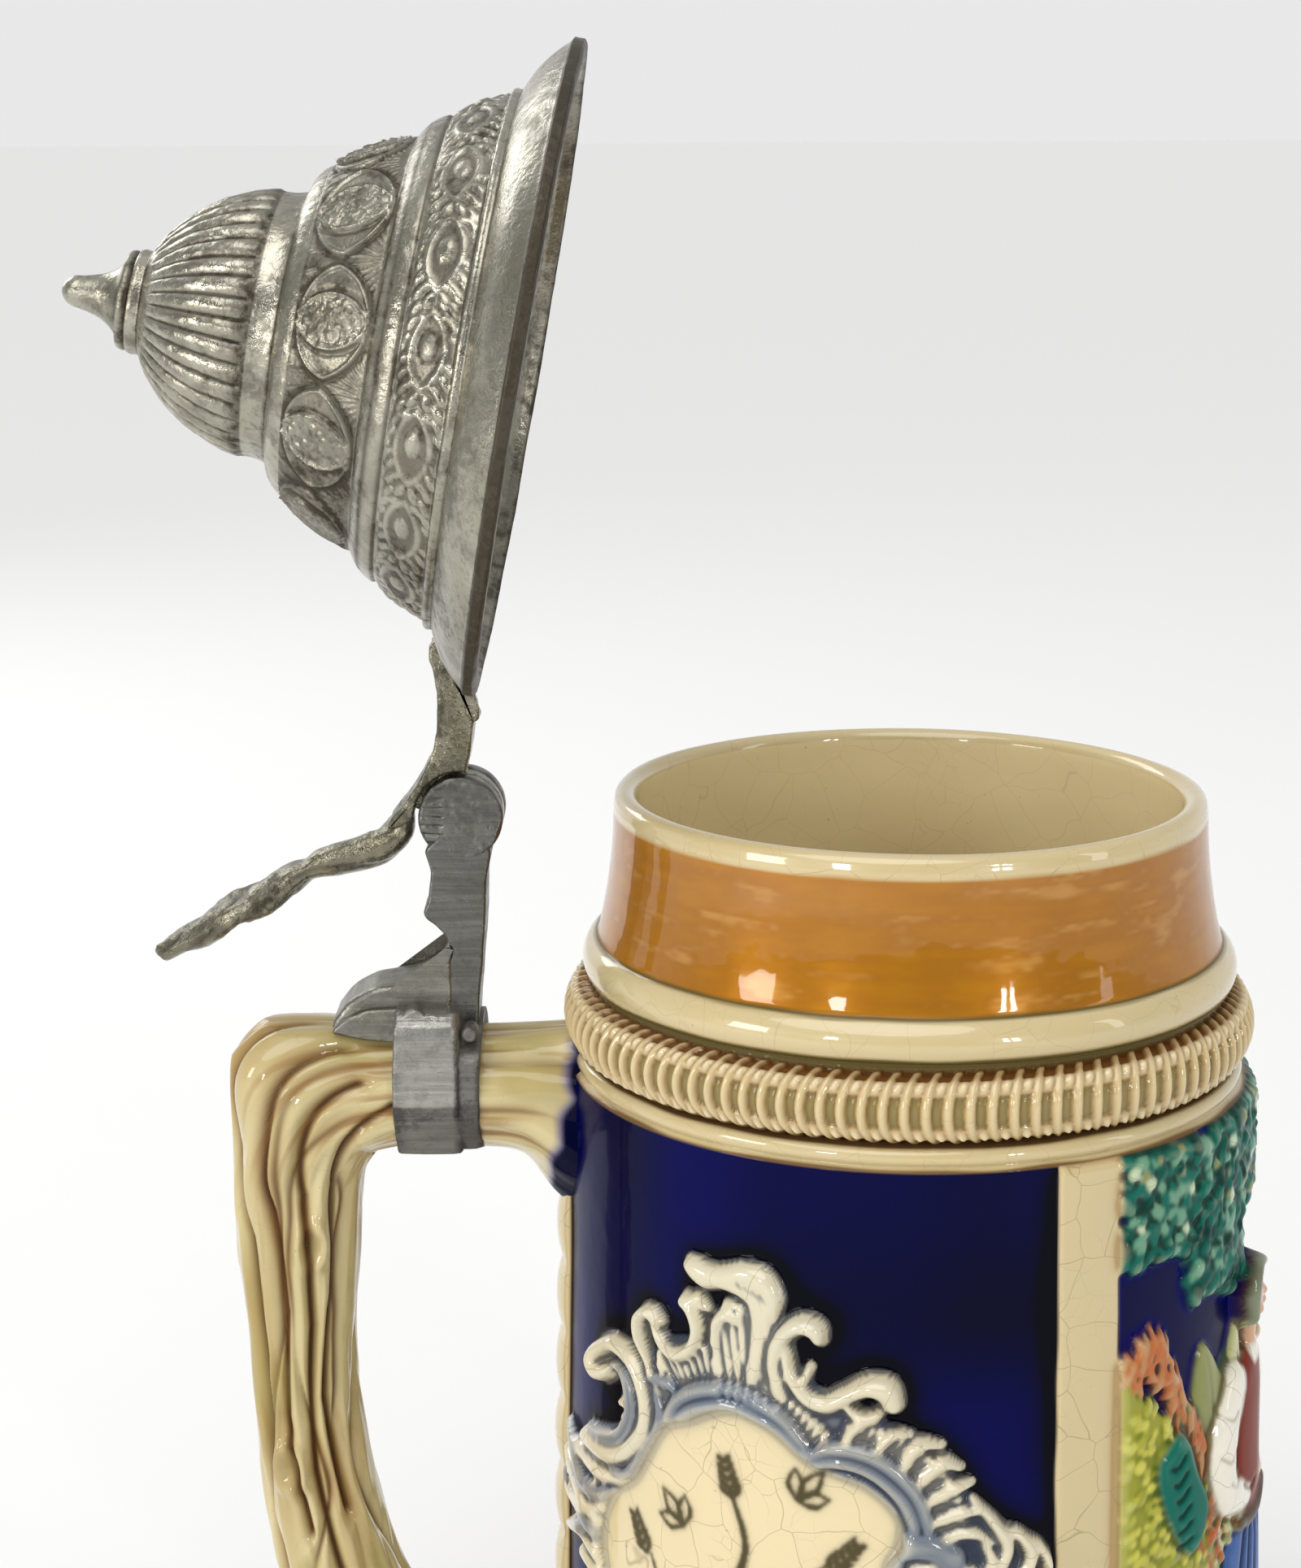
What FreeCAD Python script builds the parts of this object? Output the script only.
import FreeCAD, Part
import Sketcher
import math
import os
import re

# A half-litre relief beer stein: a glazed earthenware mug with a branch-shaped handle and a pewter lid
# that turns on a pewter hinge strapped to the handle.
# Row frame: +Z up, origin at the middle of the foot, handle towards -X, hinge axis along Y.
# The lid is drawn closed and is placed open, so the joint's value 0 is the open lid.

SIZES = [
    # mug, outside
    ("mug_height", 158.0, "table to the crest of the rim"),
    ("rim_inner_radius", 34.3, "inside edge of the rolled rim"),
    ("rim_outer_radius", 37.2, "outside edge of the rolled rim"),
    ("rim_roll_radius", 1.451, "radius of the rolled rim"),
    ("rim_roll_drop", 1.4, "crest of the rim to the foot of its roll"),
    ("neck_flare_radius", 70.0, "hollow flare under the rim"),
    ("neck_foot_radius", 39.5, "flare where it meets the first moulding"),
    ("neck_foot_drop", 18.4, "crest of the rim to the end of the flare"),
    ("collar_round", 4.2, "rounding of the plain collar moulding"),
    ("collar_radius", 40.5, "lower edge of the plain collar moulding"),
    ("collar_drop", 23.3, "crest of the rim to the lower edge of the collar"),
    ("rope_seat_radius", 40.4, "groove above and below the upper rope moulding"),
    ("rope_top_drop", 24.1, "crest of the rim to the top of the upper rope"),
    ("rope_round", 4.75, "radius of a rope moulding"),
    ("rope_height", 8.9, "height of a rope moulding"),
    ("fillet_depth", 2.1, "how far a plain fillet stands out of its groove"),
    ("fillet_height", 1.7, "height of a plain fillet"),
    ("fillet_gap", 0.4, "height of the groove beside a fillet"),
    ("wall_top_radius", 42.8, "relief ground at the top of the picture wall"),
    ("wall_foot_radius", 44.2, "relief ground at the foot of the picture wall"),
    ("wall_foot_height", 30.5, "table to the foot of the picture wall"),
    ("foot_rope_radius", 42.2, "groove above and below the lower rope moulding"),
    ("foot_rope_top", 27.8, "table to the top of the lower rope"),
    ("foot_collar_top", 18.2, "table to the top of the lower collar"),
    ("foot_collar_radius", 43.6, "lower edge of the lower collar"),
    ("foot_collar_low", 13.2, "table to the lower edge of the lower collar"),
    ("foot_flare_radius", 22.0, "hollow flare of the foot"),
    ("foot_radius", 45.4, "widest part of the foot"),
    ("foot_band", 4.0, "height of the upright band round the foot"),
    ("foot_chamfer", 0.9, "chamfer at the edge of the base"),
    # mug, inside
    ("bore_neck_radius", 35.1, "inside radius under the rim"),
    ("bore_neck_drop", 20.0, "crest of the rim to that radius"),
    ("bore_top_radius", 36.3, "inside radius at the top of the picture wall"),
    ("bore_top_drop", 38.0, "crest of the rim to that radius"),
    ("bore_foot_radius", 37.2, "inside radius above the floor"),
    ("floor_round", 9.0, "rounding between wall and floor"),
    ("floor_height", 9.5, "thickness of the floor"),
    # handle
    ("arm_height", 118.8, "table to the centre of the handle's level arm"),
    ("arm_depth", 15.0, "handle, across"),
    ("arm_thickness", 15.4, "handle's level arm, top to bottom"),
    # strap, tang and shank
    ("strap_near", 56.0, "mug axis to the strap's edge beside the mug"),
    ("strap_far", 65.0, "mug axis to the strap's outer edge"),
    ("strap_half_height", 9.2, "strap, centre of the arm to the outside of the band, up and down"),
    ("strap_half_depth", 9.0, "strap, centre of the arm to the outside of the band, sideways"),
    ("strap_corner", 4.6, "corner cut off the band, each way"),
    ("tang_tip", 73.2, "mug axis to the tip of the tang"),
    ("tang_depth", 11.0, "tang, across"),
    ("shank_near", 53.5, "mug axis to the shank's side beside the mug"),
    ("shank_foot", 58.6, "mug axis to the shank's outer side near the strap"),
    ("shank_head", 60.8, "mug axis to the shank's outer side under the hinge"),
    ("mount_lap", 0.6, "how far the shank's foot reaches down into the strap's top"),
    # hinge
    ("hinge_reach", 56.4, "mug axis to the hinge axis"),
    ("hinge_height", 154.9, "table to the hinge axis"),
    ("knuckle_radius", 5.3, "outside of the hinge rings"),
    ("hinge_width", 9.0, "hinge, across all its rings"),
    ("ring_width", 2.8, "middle ring, across"),
    ("ring_gap", 0.2, "side play between the rings"),
    ("pin_radius", 1.2, "hinge pin"),
    ("pin_play", 0.05, "radial play of the pin in the middle ring"),
    ("plug_length", 0.9, "pewter plug over each end of the pin"),
    ("swing_gap", 0.5, "clearance between moving and fixed parts round the hinge"),
    # lid
    ("lid_open_angle", 79.7, "from closed to resting open"),
    ("lid_radius", 40.6, "rim of the lid"),
    ("lid_lift", 0.6, "hinge axis to the lid's rim plane when closed"),
    ("lid_edge", 1.6, "upright face of the lid's rim"),
    ("lid_metal", 1.7, "thickness of the lid's metal"),
    ("lid_land", 2.2, "width of the flat lower edge of the lid's rim"),
    ("lid_seat", 3.2, "rim plane to the underside that comes down on the mug's rim"),
    ("brim_flare_radius", 11.0, "hollow flare of the brim"),
    ("frieze_radius", 32.6, "ring at the top of the brim"),
    ("frieze_low", 8.2, "rim plane to the ring at the top of the brim"),
    ("frieze_top_radius", 28.4, "top of the narrow frieze"),
    ("frieze_top", 15.2, "rim plane to the top of the narrow frieze"),
    ("tier_low_radius", 25.8, "foot of the upper tier"),
    ("tier_low", 17.8, "rim plane to the foot of the upper tier"),
    ("tier_top_radius", 20.2, "shoulder of the upper tier"),
    ("tier_top", 28.2, "rim plane to the shoulder of the upper tier"),
    ("dome_low_radius", 16.8, "foot of the fluted dome"),
    ("dome_low", 30.4, "rim plane to the foot of the fluted dome"),
    ("dome_round", 26.0, "rounding of the fluted dome"),
    ("collar_top_radius", 6.6, "collar under the finial"),
    ("collar_foot", 47.6, "rim plane to the foot of the finial's collar"),
    ("collar_top", 49.4, "rim plane to the top of the finial's collar"),
    ("finial_radius", 5.9, "flange of the finial"),
    ("finial_flange", 1.3, "thickness of the finial's flange"),
    ("finial_tip_radius", 1.7, "rounded tip of the finial"),
    ("finial_hollow", 7.5, "hollow curve between flange and tip"),
    ("finial_top", 58.4, "rim plane to the tip of the finial"),
    # lid arm and thumb lift
    ("arm_bar_depth", 8.0, "lid arm, across"),
    ("lift_depth", 9.0, "thumb lift, across"),
]

# Centre line of the handle from its upper root to its lower root: distance from the mug axis, height,
# direction in degrees (0 is outwards, 90 is downwards) and thickness in the handle's plane.
HANDLE_STATIONS = [
    (39.6, 117.2, 0, 19.0),
    (47.0, 118.6, 0, 16.0),
    (54.0, 118.8, 0, 15.4),
    (66.0, 118.8, 4, 15.4),
    (73.6, 116.6, 34, 16.6),
    (78.2, 109.0, 78, 16.6),
    (78.6, 97.0, 90, 15.4),
    (78.2, 80.0, 93, 12.9),
    (76.6, 64.0, 98, 14.0),
    (73.4, 49.0, 108, 16.0),
    (66.0, 36.4, 132, 16.8),
    (55.0, 28.6, 156, 17.4),
    (40.4, 24.6, 170, 19.5),
]

SIDE_VIEW = FreeCAD.Rotation(FreeCAD.Vector(0, 0, 1), 180)


def make_sheet(doc):
    """Spreadsheet of the driving sizes, in millimetres and degrees."""
    sheet = doc.addObject("Spreadsheet::Sheet", "Sizes")
    for row, (alias, value, note) in enumerate(SIZES, start=1):
        sheet.set(f"A{row}", alias)
        sheet.set(f"B{row}", str(value))
        sheet.set(f"C{row}", note)
        sheet.setAlias(f"B{row}", alias)
    doc.recompute()
    return sheet


def size(sheet, alias):
    return float(sheet.get(alias))


def on_sheet(text):
    """An expression written with bare aliases, with the sheet's name put before each."""
    return re.sub(r"[a-z][a-z_]+", r"Sizes.\g<0>", text)


def bind(target, **expressions):
    """Bind properties of an object to expressions written with the sheet's aliases."""
    for name, expression in expressions.items():
        target.setExpression(name, on_sheet(expression))
    return target


def origin_plane(body, role):
    return next(feature for feature in body.Origin.OriginFeatures if feature.Role == role)


def add_sketch(body, name, role="XZ_Plane"):
    sketch = body.newObject("Sketcher::SketchObject", name)
    sketch.AttachmentSupport = [(origin_plane(body, role), "")]
    sketch.MapMode = "FlatFace"
    return sketch


def add_edge(sketch, start, end, radius):
    """Add a line, or an arc that bulges to the right of its way for a positive radius.

    Returns the edge and which of its vertices are its start and its end."""
    if not radius:
        return sketch.addGeometry(Part.LineSegment(start, end)), 1, 2
    chord = end - start
    side = math.copysign(1.0, radius)
    left = FreeCAD.Vector(-chord.y, chord.x, 0).normalize()
    reach = math.sqrt(radius ** 2 - (chord.Length / 2) ** 2)
    centre = (start + end) * 0.5 + left * (reach * side)
    first, last = (start, end) if side > 0 else (end, start)
    angle_a = math.atan2(first.y - centre.y, first.x - centre.x)
    angle_b = math.atan2(last.y - centre.y, last.x - centre.x)
    if angle_b < angle_a:
        angle_b += 2 * math.pi
    circle = Part.Circle(centre, FreeCAD.Vector(0, 0, 1), abs(radius))
    edge = sketch.addGeometry(Part.ArcOfCircle(circle, angle_a, angle_b))
    return (edge, 1, 2) if side > 0 else (edge, 2, 1)


def fix_coordinate(sketch, edge, vertex, kind, expression):
    """Hold one coordinate of a vertex at an expression, or on the axis where it is 0."""
    if expression == "0":
        axis = -2 if kind == "DistanceX" else -1
        sketch.addConstraint(Sketcher.Constraint("PointOnObject", edge, vertex, axis))
        return
    value = float(sketch.evalExpression(on_sheet(expression)))
    index = sketch.addConstraint(Sketcher.Constraint(kind, edge, vertex, value))
    sketch.setExpression(f"Constraints[{index}]", on_sheet(expression))


def draw_outline(sketch, corners):
    """Draw a closed outline. A corner is (x, y) or (x, y, radius of the arc to the next corner),
    each an expression on the sheet."""
    points = []
    radii = []
    for corner in corners:
        x, y, *radius = (float(sketch.evalExpression(on_sheet(text))) for text in corner)
        points.append(FreeCAD.Vector(x, y, 0))
        radii.append(radius[0] if radius else 0.0)
    edges = []
    for index, start in enumerate(points):
        end = points[(index + 1) % len(points)]
        edges.append(add_edge(sketch, start, end, radii[index]))
    for index, (edge, first, _) in enumerate(edges):
        before, _, last = edges[index - 1]
        sketch.addConstraint(Sketcher.Constraint("Coincident", before, last, edge, first))
        fix_coordinate(sketch, edge, first, "DistanceX", corners[index][0])
        fix_coordinate(sketch, edge, first, "DistanceY", corners[index][1])
        if radii[index]:
            number = sketch.addConstraint(Sketcher.Constraint("Radius", edge, abs(radii[index])))
            sketch.setExpression(f"Constraints[{number}]", on_sheet(corners[index][2].lstrip("-")))


def turned_body(doc, name, corners):
    """A body turned about the Z axis from an outline of (radius, height) corners."""
    body = doc.addObject("PartDesign::Body", f"{name}_body")
    sketch = add_sketch(body, f"{name}_outline")
    draw_outline(sketch, corners)
    turn = body.newObject("PartDesign::Revolution", f"{name}_turned")
    turn.Profile = sketch
    turn.ReferenceAxis = (sketch, ["V_Axis"])
    turn.Angle = 360
    doc.recompute()
    return body


def plate_body(doc, name, corners, depth):
    """A body cut from plate: an outline of (outwards, up) corners and its depth across the mug."""
    body = doc.addObject("PartDesign::Body", f"{name}_body")
    sketch = add_sketch(body, f"{name}_outline")
    draw_outline(sketch, corners)
    pad = body.newObject("PartDesign::Pad", f"{name}_plate")
    pad.Profile = sketch
    pad.Midplane = True
    bind(pad, Length=depth)
    doc.recompute()
    return body


def cross_cylinder(doc, name, radius, length, start):
    """A cylinder along Y about the hinge axis, from the expression start. Drawn with the hinge axis
    at the origin."""
    rod = doc.addObject("Part::Cylinder", name)
    bind(rod, Radius=radius, Height=length)
    rod.Placement = FreeCAD.Placement(FreeCAD.Vector(), FreeCAD.Rotation(FreeCAD.Vector(1, 0, 0), -90))
    bind(rod, **{".Placement.Base.y": start})
    return rod


def cut(doc, name, base, tool):
    result = doc.addObject("Part::Cut", name)
    result.Base = base
    result.Tool = tool
    return result


def fuse(doc, name, shapes):
    result = doc.addObject("Part::MultiFuse", name)
    result.Shapes = shapes
    return result


def label(part, node, placement=None):
    part.Label = node
    if placement is not None:
        part.Placement = placement
    return part


def make_mug_body(doc):
    """Hollow mug: base, foot mouldings, picture wall, upper mouldings, neck, rim, then the inside."""
    under_rope = "mug_height - rope_top_drop - rope_height"
    corners = [
        ("0", "0"),
        ("foot_radius - foot_chamfer", "0"),
        ("foot_radius", "foot_chamfer"),
        ("foot_radius", "foot_band", "-foot_flare_radius"),
        ("foot_collar_radius", "foot_collar_low", "collar_round"),
        ("foot_rope_radius", "foot_collar_top"),
        ("foot_rope_radius", "foot_rope_top - rope_height", "rope_round"),
        ("foot_rope_radius", "foot_rope_top"),
        ("foot_rope_radius", "foot_rope_top + fillet_gap"),
        ("wall_foot_radius - fillet_gap", "foot_rope_top + fillet_gap"),
        ("wall_foot_radius - fillet_gap", "foot_rope_top + fillet_gap + fillet_height"),
        ("wall_foot_radius", "wall_foot_height"),
        ("wall_top_radius", f"{under_rope} - fillet_height - fillet_gap * 2"),
        ("rope_seat_radius + fillet_depth", f"{under_rope} - fillet_height - fillet_gap"),
        ("rope_seat_radius + fillet_depth", f"{under_rope} - fillet_gap"),
        ("rope_seat_radius", f"{under_rope} - fillet_gap"),
        ("rope_seat_radius", under_rope, "rope_round"),
        ("rope_seat_radius", "mug_height - rope_top_drop"),
        ("rope_seat_radius", "mug_height - collar_drop - fillet_gap"),
        ("collar_radius", "mug_height - collar_drop", "collar_round"),
        ("neck_foot_radius", "mug_height - neck_foot_drop", "-neck_flare_radius"),
        ("rim_outer_radius", "mug_height - rim_roll_drop", "rim_roll_radius"),
        ("rim_inner_radius", "mug_height - rim_roll_drop"),
        ("bore_neck_radius", "mug_height - bore_neck_drop"),
        ("bore_top_radius", "mug_height - bore_top_drop"),
        ("bore_foot_radius", "floor_height + floor_round", "-floor_round"),
        ("bore_foot_radius - floor_round", "floor_height"),
        ("0", "floor_height"),
    ]
    return label(turned_body(doc, "mug", corners), "mug_body")


def handle_section(station, depth):
    """Elliptical section of the handle at one station, square to its centre line."""
    outwards, height, direction, thickness = station
    angle = math.radians(direction)
    along = FreeCAD.Vector(-math.cos(angle), 0, -math.sin(angle))
    across = FreeCAD.Vector(0, 1, 0)
    centre = FreeCAD.Vector(-outwards, 0, height)
    inwards = along.cross(across)
    major, minor = (inwards, across) if thickness >= depth else (across, inwards)
    large = max(thickness, depth) / 2
    small = min(thickness, depth) / 2
    ellipse = Part.Ellipse(centre + major * large, centre + minor * small, centre)
    return Part.Wire(ellipse.toShape())


def make_handle(doc, sheet, mug_body):
    """Tapering branch: a loft through elliptical sections, trimmed by the mug's wall."""
    depth = size(sheet, "arm_depth")
    blank = doc.addObject("Part::Feature", "handle_blank")
    sections = [handle_section(station, depth) for station in HANDLE_STATIONS]
    blank.Shape = Part.makeLoft(sections, True, False)
    handle = cut(doc, "handle_trimmed", blank, mug_body)
    return label(handle, "handle")


def make_strap(doc, handle):
    """Pewter band round the handle's arm: a tube with cut corners, bored by the handle itself."""
    body = doc.addObject("PartDesign::Body", "strap_body")
    sketch = add_sketch(body, "strap_outline", "YZ_Plane")
    draw_outline(sketch, [
        ("strap_half_depth", "arm_height - strap_half_height + strap_corner"),
        ("strap_half_depth", "arm_height + strap_half_height - strap_corner"),
        ("strap_half_depth - strap_corner", "arm_height + strap_half_height"),
        ("-strap_half_depth + strap_corner", "arm_height + strap_half_height"),
        ("-strap_half_depth", "arm_height + strap_half_height - strap_corner"),
        ("-strap_half_depth", "arm_height - strap_half_height + strap_corner"),
        ("-strap_half_depth + strap_corner", "arm_height - strap_half_height"),
        ("strap_half_depth - strap_corner", "arm_height - strap_half_height"),
    ])
    pad = body.newObject("PartDesign::Pad", "strap_band")
    pad.Profile = sketch
    bind(pad, Length="strap_far - strap_near")
    bind(body, **{".Placement.Base.x": "-strap_far"})
    doc.recompute()
    return label(cut(doc, "strap_bored", body, handle), "handle_strap")


def make_tang(doc, handle, strap):
    """Leaf-shaped tang that lies along the handle's shoulder outside the strap."""
    corners = [
        ("strap_far - ring_gap", "arm_height + tang_depth * 0.45"),
        ("tang_tip", "arm_height + strap_half_height + 0.6"),
        ("tang_tip - 1.4", "arm_height + strap_half_height + 3.0"),
        ("tang_tip - 4.8", "arm_height + strap_half_height + 5.0"),
        ("strap_far + 0.8", "arm_height + strap_half_height + 5.2", "strap_far * 0.2"),
        ("shank_foot", "arm_height + strap_half_height + 7.6"),
        ("shank_foot", "arm_height + strap_half_height - mount_lap"),
    ]
    plate = plate_body(doc, "tang", corners, "tang_depth")
    plate.Placement = FreeCAD.Placement(FreeCAD.Vector(), SIDE_VIEW)
    off_handle = cut(doc, "tang_off_handle", plate, handle)
    return label(cut(doc, "tang_off_strap", off_handle, strap), "strap_tang")


def hinge_place(sheet):
    """Placement of the parts that are drawn about the hinge axis, looking from the handle side."""
    place = FreeCAD.Vector(-size(sheet, "hinge_reach"), 0, size(sheet, "hinge_height"))
    return FreeCAD.Placement(place, SIDE_VIEW)


def lid_open_turn(sheet):
    """The turn about the hinge axis that carries the closed lid to its open stop."""
    axis_point = FreeCAD.Vector(-size(sheet, "hinge_reach"), 0, size(sheet, "hinge_height"))
    turn = FreeCAD.Rotation(FreeCAD.Vector(0, 1, 0), -size(sheet, "lid_open_angle"))
    return FreeCAD.Placement(FreeCAD.Vector(), turn, axis_point)


def make_shank(doc, sheet, tang, strap):
    """Post between strap and hinge, cast with the two outer rings. Its corners are millimetres
    outwards and up from the hinge axis."""
    corners = [
        ("shank_near - hinge_reach + 1.2", "arm_height + strap_half_height - mount_lap - hinge_height"),
        ("shank_foot - hinge_reach", "arm_height + strap_half_height - mount_lap - hinge_height"),
        ("shank_foot - hinge_reach", "-16.5"),
        ("shank_head - hinge_reach + 0.3", "-11.8"),
        ("shank_head - hinge_reach - 0.3", "-8.4"),
        ("knuckle_radius * 0.82", "-knuckle_radius * 0.57"),
        ("0", "0"),
        ("-knuckle_radius * 0.82", "-knuckle_radius * 0.57"),
        ("shank_near - hinge_reach", "-7.0"),
    ]
    post = plate_body(doc, "shank", corners, "hinge_width")
    rings = cross_cylinder(
        doc, "outer_rings", "knuckle_radius", "hinge_width", "-hinge_width / 2")
    slot = cross_cylinder(
        doc, "ring_slot", "knuckle_radius + swing_gap",
        "ring_width + ring_gap * 2", "-ring_width / 2 - ring_gap")
    pin_hole = cross_cylinder(
        doc, "shank_pin_hole", "pin_radius", "hinge_width", "-hinge_width / 2")
    solid = fuse(doc, "shank_solid", [post, rings])
    slotted = cut(doc, "shank_slotted", solid, slot)
    drilled = cut(doc, "shank_drilled", slotted, pin_hole)
    drilled.Placement = hinge_place(sheet)
    off_strap = cut(doc, "shank_off_strap", drilled, strap)
    return label(cut(doc, "shank_off_tang", off_strap, tang), "hinge_shank")


def make_pin_parts(doc):
    """The hinge pin and the pewter plug over each of its ends."""
    pin = cross_cylinder(
        doc, "pin_rod", "pin_radius", "hinge_width - plug_length * 2",
        "-hinge_width / 2 + plug_length")
    near = cross_cylinder(
        doc, "near_plug", "pin_radius", "plug_length", "-hinge_width / 2")
    far = cross_cylinder(
        doc, "far_plug", "pin_radius", "plug_length",
        "hinge_width / 2 - plug_length")
    parts = []
    for rod, node in ((pin, "hinge_pin"), (near, "pin_plug_near"), (far, "pin_plug_far")):
        bind(rod, **{".Placement.Base.x": "-hinge_reach", ".Placement.Base.z": "hinge_height"})
        parts.append(label(rod, node))
    return parts


def lid_place(sheet):
    """Placement of the parts that are drawn about the lid's axis, with the rim plane at height 0."""
    lift = size(sheet, "hinge_height") + size(sheet, "lid_lift")
    closed = FreeCAD.Placement(FreeCAD.Vector(0, 0, lift), FreeCAD.Rotation())
    return lid_open_turn(sheet).multiply(closed)


def make_lid_shell(doc, sheet):
    """Tiered pewter dome. Drawn closed, with its rim plane at height 0."""
    corners = [
        ("lid_radius", "0"),
        ("lid_radius", "lid_edge", "-brim_flare_radius"),
        ("frieze_radius", "frieze_low"),
        ("frieze_radius - 0.6", "frieze_low + 2.2", "frieze_low * 0.9"),
        ("frieze_top_radius", "frieze_top"),
        ("frieze_top_radius - 0.6", "frieze_top + 1.2"),
        ("tier_low_radius", "tier_low"),
        ("tier_top_radius + 1.4", "tier_top - 2.4"),
        ("tier_top_radius - 1.2", "tier_top + 0.8"),
        ("dome_low_radius", "dome_low", "dome_round"),
        ("collar_top_radius", "collar_foot"),
        ("collar_top_radius", "collar_top"),
        ("0", "collar_top"),
        ("0", "collar_foot - lid_metal"),
        ("collar_top_radius", "collar_foot - lid_metal - 1.4", "-dome_round"),
        ("dome_low_radius - lid_metal", "dome_low - 1.0"),
        ("tier_top_radius - lid_metal - 0.6", "tier_top - 2.2"),
        ("tier_low_radius - lid_metal - 0.4", "tier_low - 2.0"),
        ("frieze_top_radius - lid_metal - 0.6", "frieze_top - 1.2"),
        ("frieze_radius - lid_metal - 0.6", "frieze_low - 1.2"),
        ("frieze_radius + 1.4", "frieze_low - lid_metal - 1.4"),
        ("rim_outer_radius - 1.6", "lid_seat"),
        ("rim_outer_radius + 0.8", "lid_seat - 1.4"),
        ("lid_radius - lid_land", "0"),
    ]
    shell = turned_body(doc, "lid", corners)
    return label(shell, "lid_shell", lid_place(sheet))


def make_finial(doc, sheet):
    """Pointed knob on the dome's collar."""
    corners = [
        ("0", "collar_top"),
        ("finial_radius", "collar_top"),
        ("finial_radius - 0.3", "collar_top + finial_flange", "-finial_hollow"),
        ("finial_tip_radius", "finial_top - finial_tip_radius", "finial_tip_radius"),
        ("0", "finial_top"),
    ]
    finial = turned_body(doc, "finial", corners)
    return label(finial, "finial", lid_place(sheet))


def make_lid_arm(doc, sheet, shell):
    """Arm on the lid's brim with the middle ring of the hinge. Its corners are millimetres outwards
    and up from the hinge axis with the lid closed, so the brim lies at negative distances."""
    bar_corners = [
        ("knuckle_radius * 0.1", "knuckle_radius + swing_gap"),
        ("knuckle_radius * 0.1", "knuckle_radius + 2.6", "-30"),
        ("-12.4", "5.4"),
        ("-17.0", "5.2"),
        ("-21.2", "6.3"),
        ("-21.6", "5.2"),
        ("-15.6", "lid_lift"),
        ("-knuckle_radius - swing_gap", "lid_lift", "-30"),
    ]
    web_corners = [
        ("0", "0"),
        ("0", "knuckle_radius + swing_gap * 2"),
        ("-knuckle_radius - swing_gap * 3", "5.0"),
        ("-knuckle_radius - swing_gap * 3", "lid_lift"),
        ("-knuckle_radius * 0.8", "-knuckle_radius * 0.1"),
    ]
    bar = plate_body(doc, "arm_bar", bar_corners, "arm_bar_depth")
    relief = cross_cylinder(
        doc, "arm_relief", "knuckle_radius + swing_gap", "arm_bar_depth * 2",
        "-arm_bar_depth")
    cleared = cut(doc, "arm_cleared", bar, relief)
    web = plate_body(doc, "arm_web", web_corners, "ring_width")
    ring = cross_cylinder(
        doc, "middle_ring", "knuckle_radius", "ring_width", "-ring_width / 2")
    pin_hole = cross_cylinder(
        doc, "arm_pin_hole", "pin_radius + pin_play", "hinge_width",
        "-hinge_width / 2")
    solid = fuse(doc, "arm_solid", [cleared, web, ring])
    drilled = cut(doc, "arm_drilled", solid, pin_hole)
    drilled.Placement = lid_open_turn(sheet).multiply(hinge_place(sheet))
    return label(cut(doc, "arm_off_lid", drilled, shell), "lid_arm")


def make_thumb_lift(doc, sheet):
    """Curved leaf soldered to the arm over the hinge. Its corners are millimetres outwards and up
    from the hinge axis with the lid closed, first along the underside and then back along the top."""
    corners = [
        ("knuckle_radius * 0.1", "knuckle_radius + swing_gap"),
        ("knuckle_radius * 0.85", "knuckle_radius * 0.85"),
        ("9.4", "10.4", "-60"),
        ("16.6", "20.9"),
        ("26.6", "33.8", "1.2"),
        ("24.9", "35.2"),
        ("13.6", "22.9", "60"),
        ("7.3", "12.3", "-20"),
        ("knuckle_radius * 0.1", "knuckle_radius + 2.6"),
    ]
    lift = plate_body(doc, "lift", corners, "lift_depth")
    return label(lift, "thumblift", lid_open_turn(sheet).multiply(hinge_place(sheet)))


def check(doc, parts):
    """Stop if any object failed, or if any sub-part's shape is null or not valid."""
    for item in doc.Objects:
        if {"Invalid", "Error"} & set(item.State):
            raise SystemExit(f"{item.Name} failed: {item.State}")
    for part in parts:
        if part.Shape.isNull() or not part.Shape.isValid():
            raise SystemExit(f"{part.Label} has no valid shape")


def main():
    doc = FreeCAD.newDocument("beer_stein")
    sheet = make_sheet(doc)
    mug_body = make_mug_body(doc)
    handle = make_handle(doc, sheet, mug_body)
    strap = make_strap(doc, handle)
    tang = make_tang(doc, handle, strap)
    shank = make_shank(doc, sheet, tang, strap)
    shell = make_lid_shell(doc, sheet)
    parts = [mug_body, handle, strap, tang, shank, shell, make_finial(doc, sheet)]
    parts += make_pin_parts(doc)
    parts += [make_lid_arm(doc, sheet, shell), make_thumb_lift(doc, sheet)]
    doc.recompute()
    check(doc, parts)
    os.makedirs("parts", exist_ok=True)
    for part in parts:
        part.Shape.exportStep(f"parts/{part.Label}.step")
        box = part.Shape.BoundBox
        print(f"{part.Label}: {part.Shape.Volume:.0f} mm3, {len(part.Shape.Solids)} solid, "
              f"{box.XLength:.1f} x {box.YLength:.1f} x {box.ZLength:.1f} mm")


main()
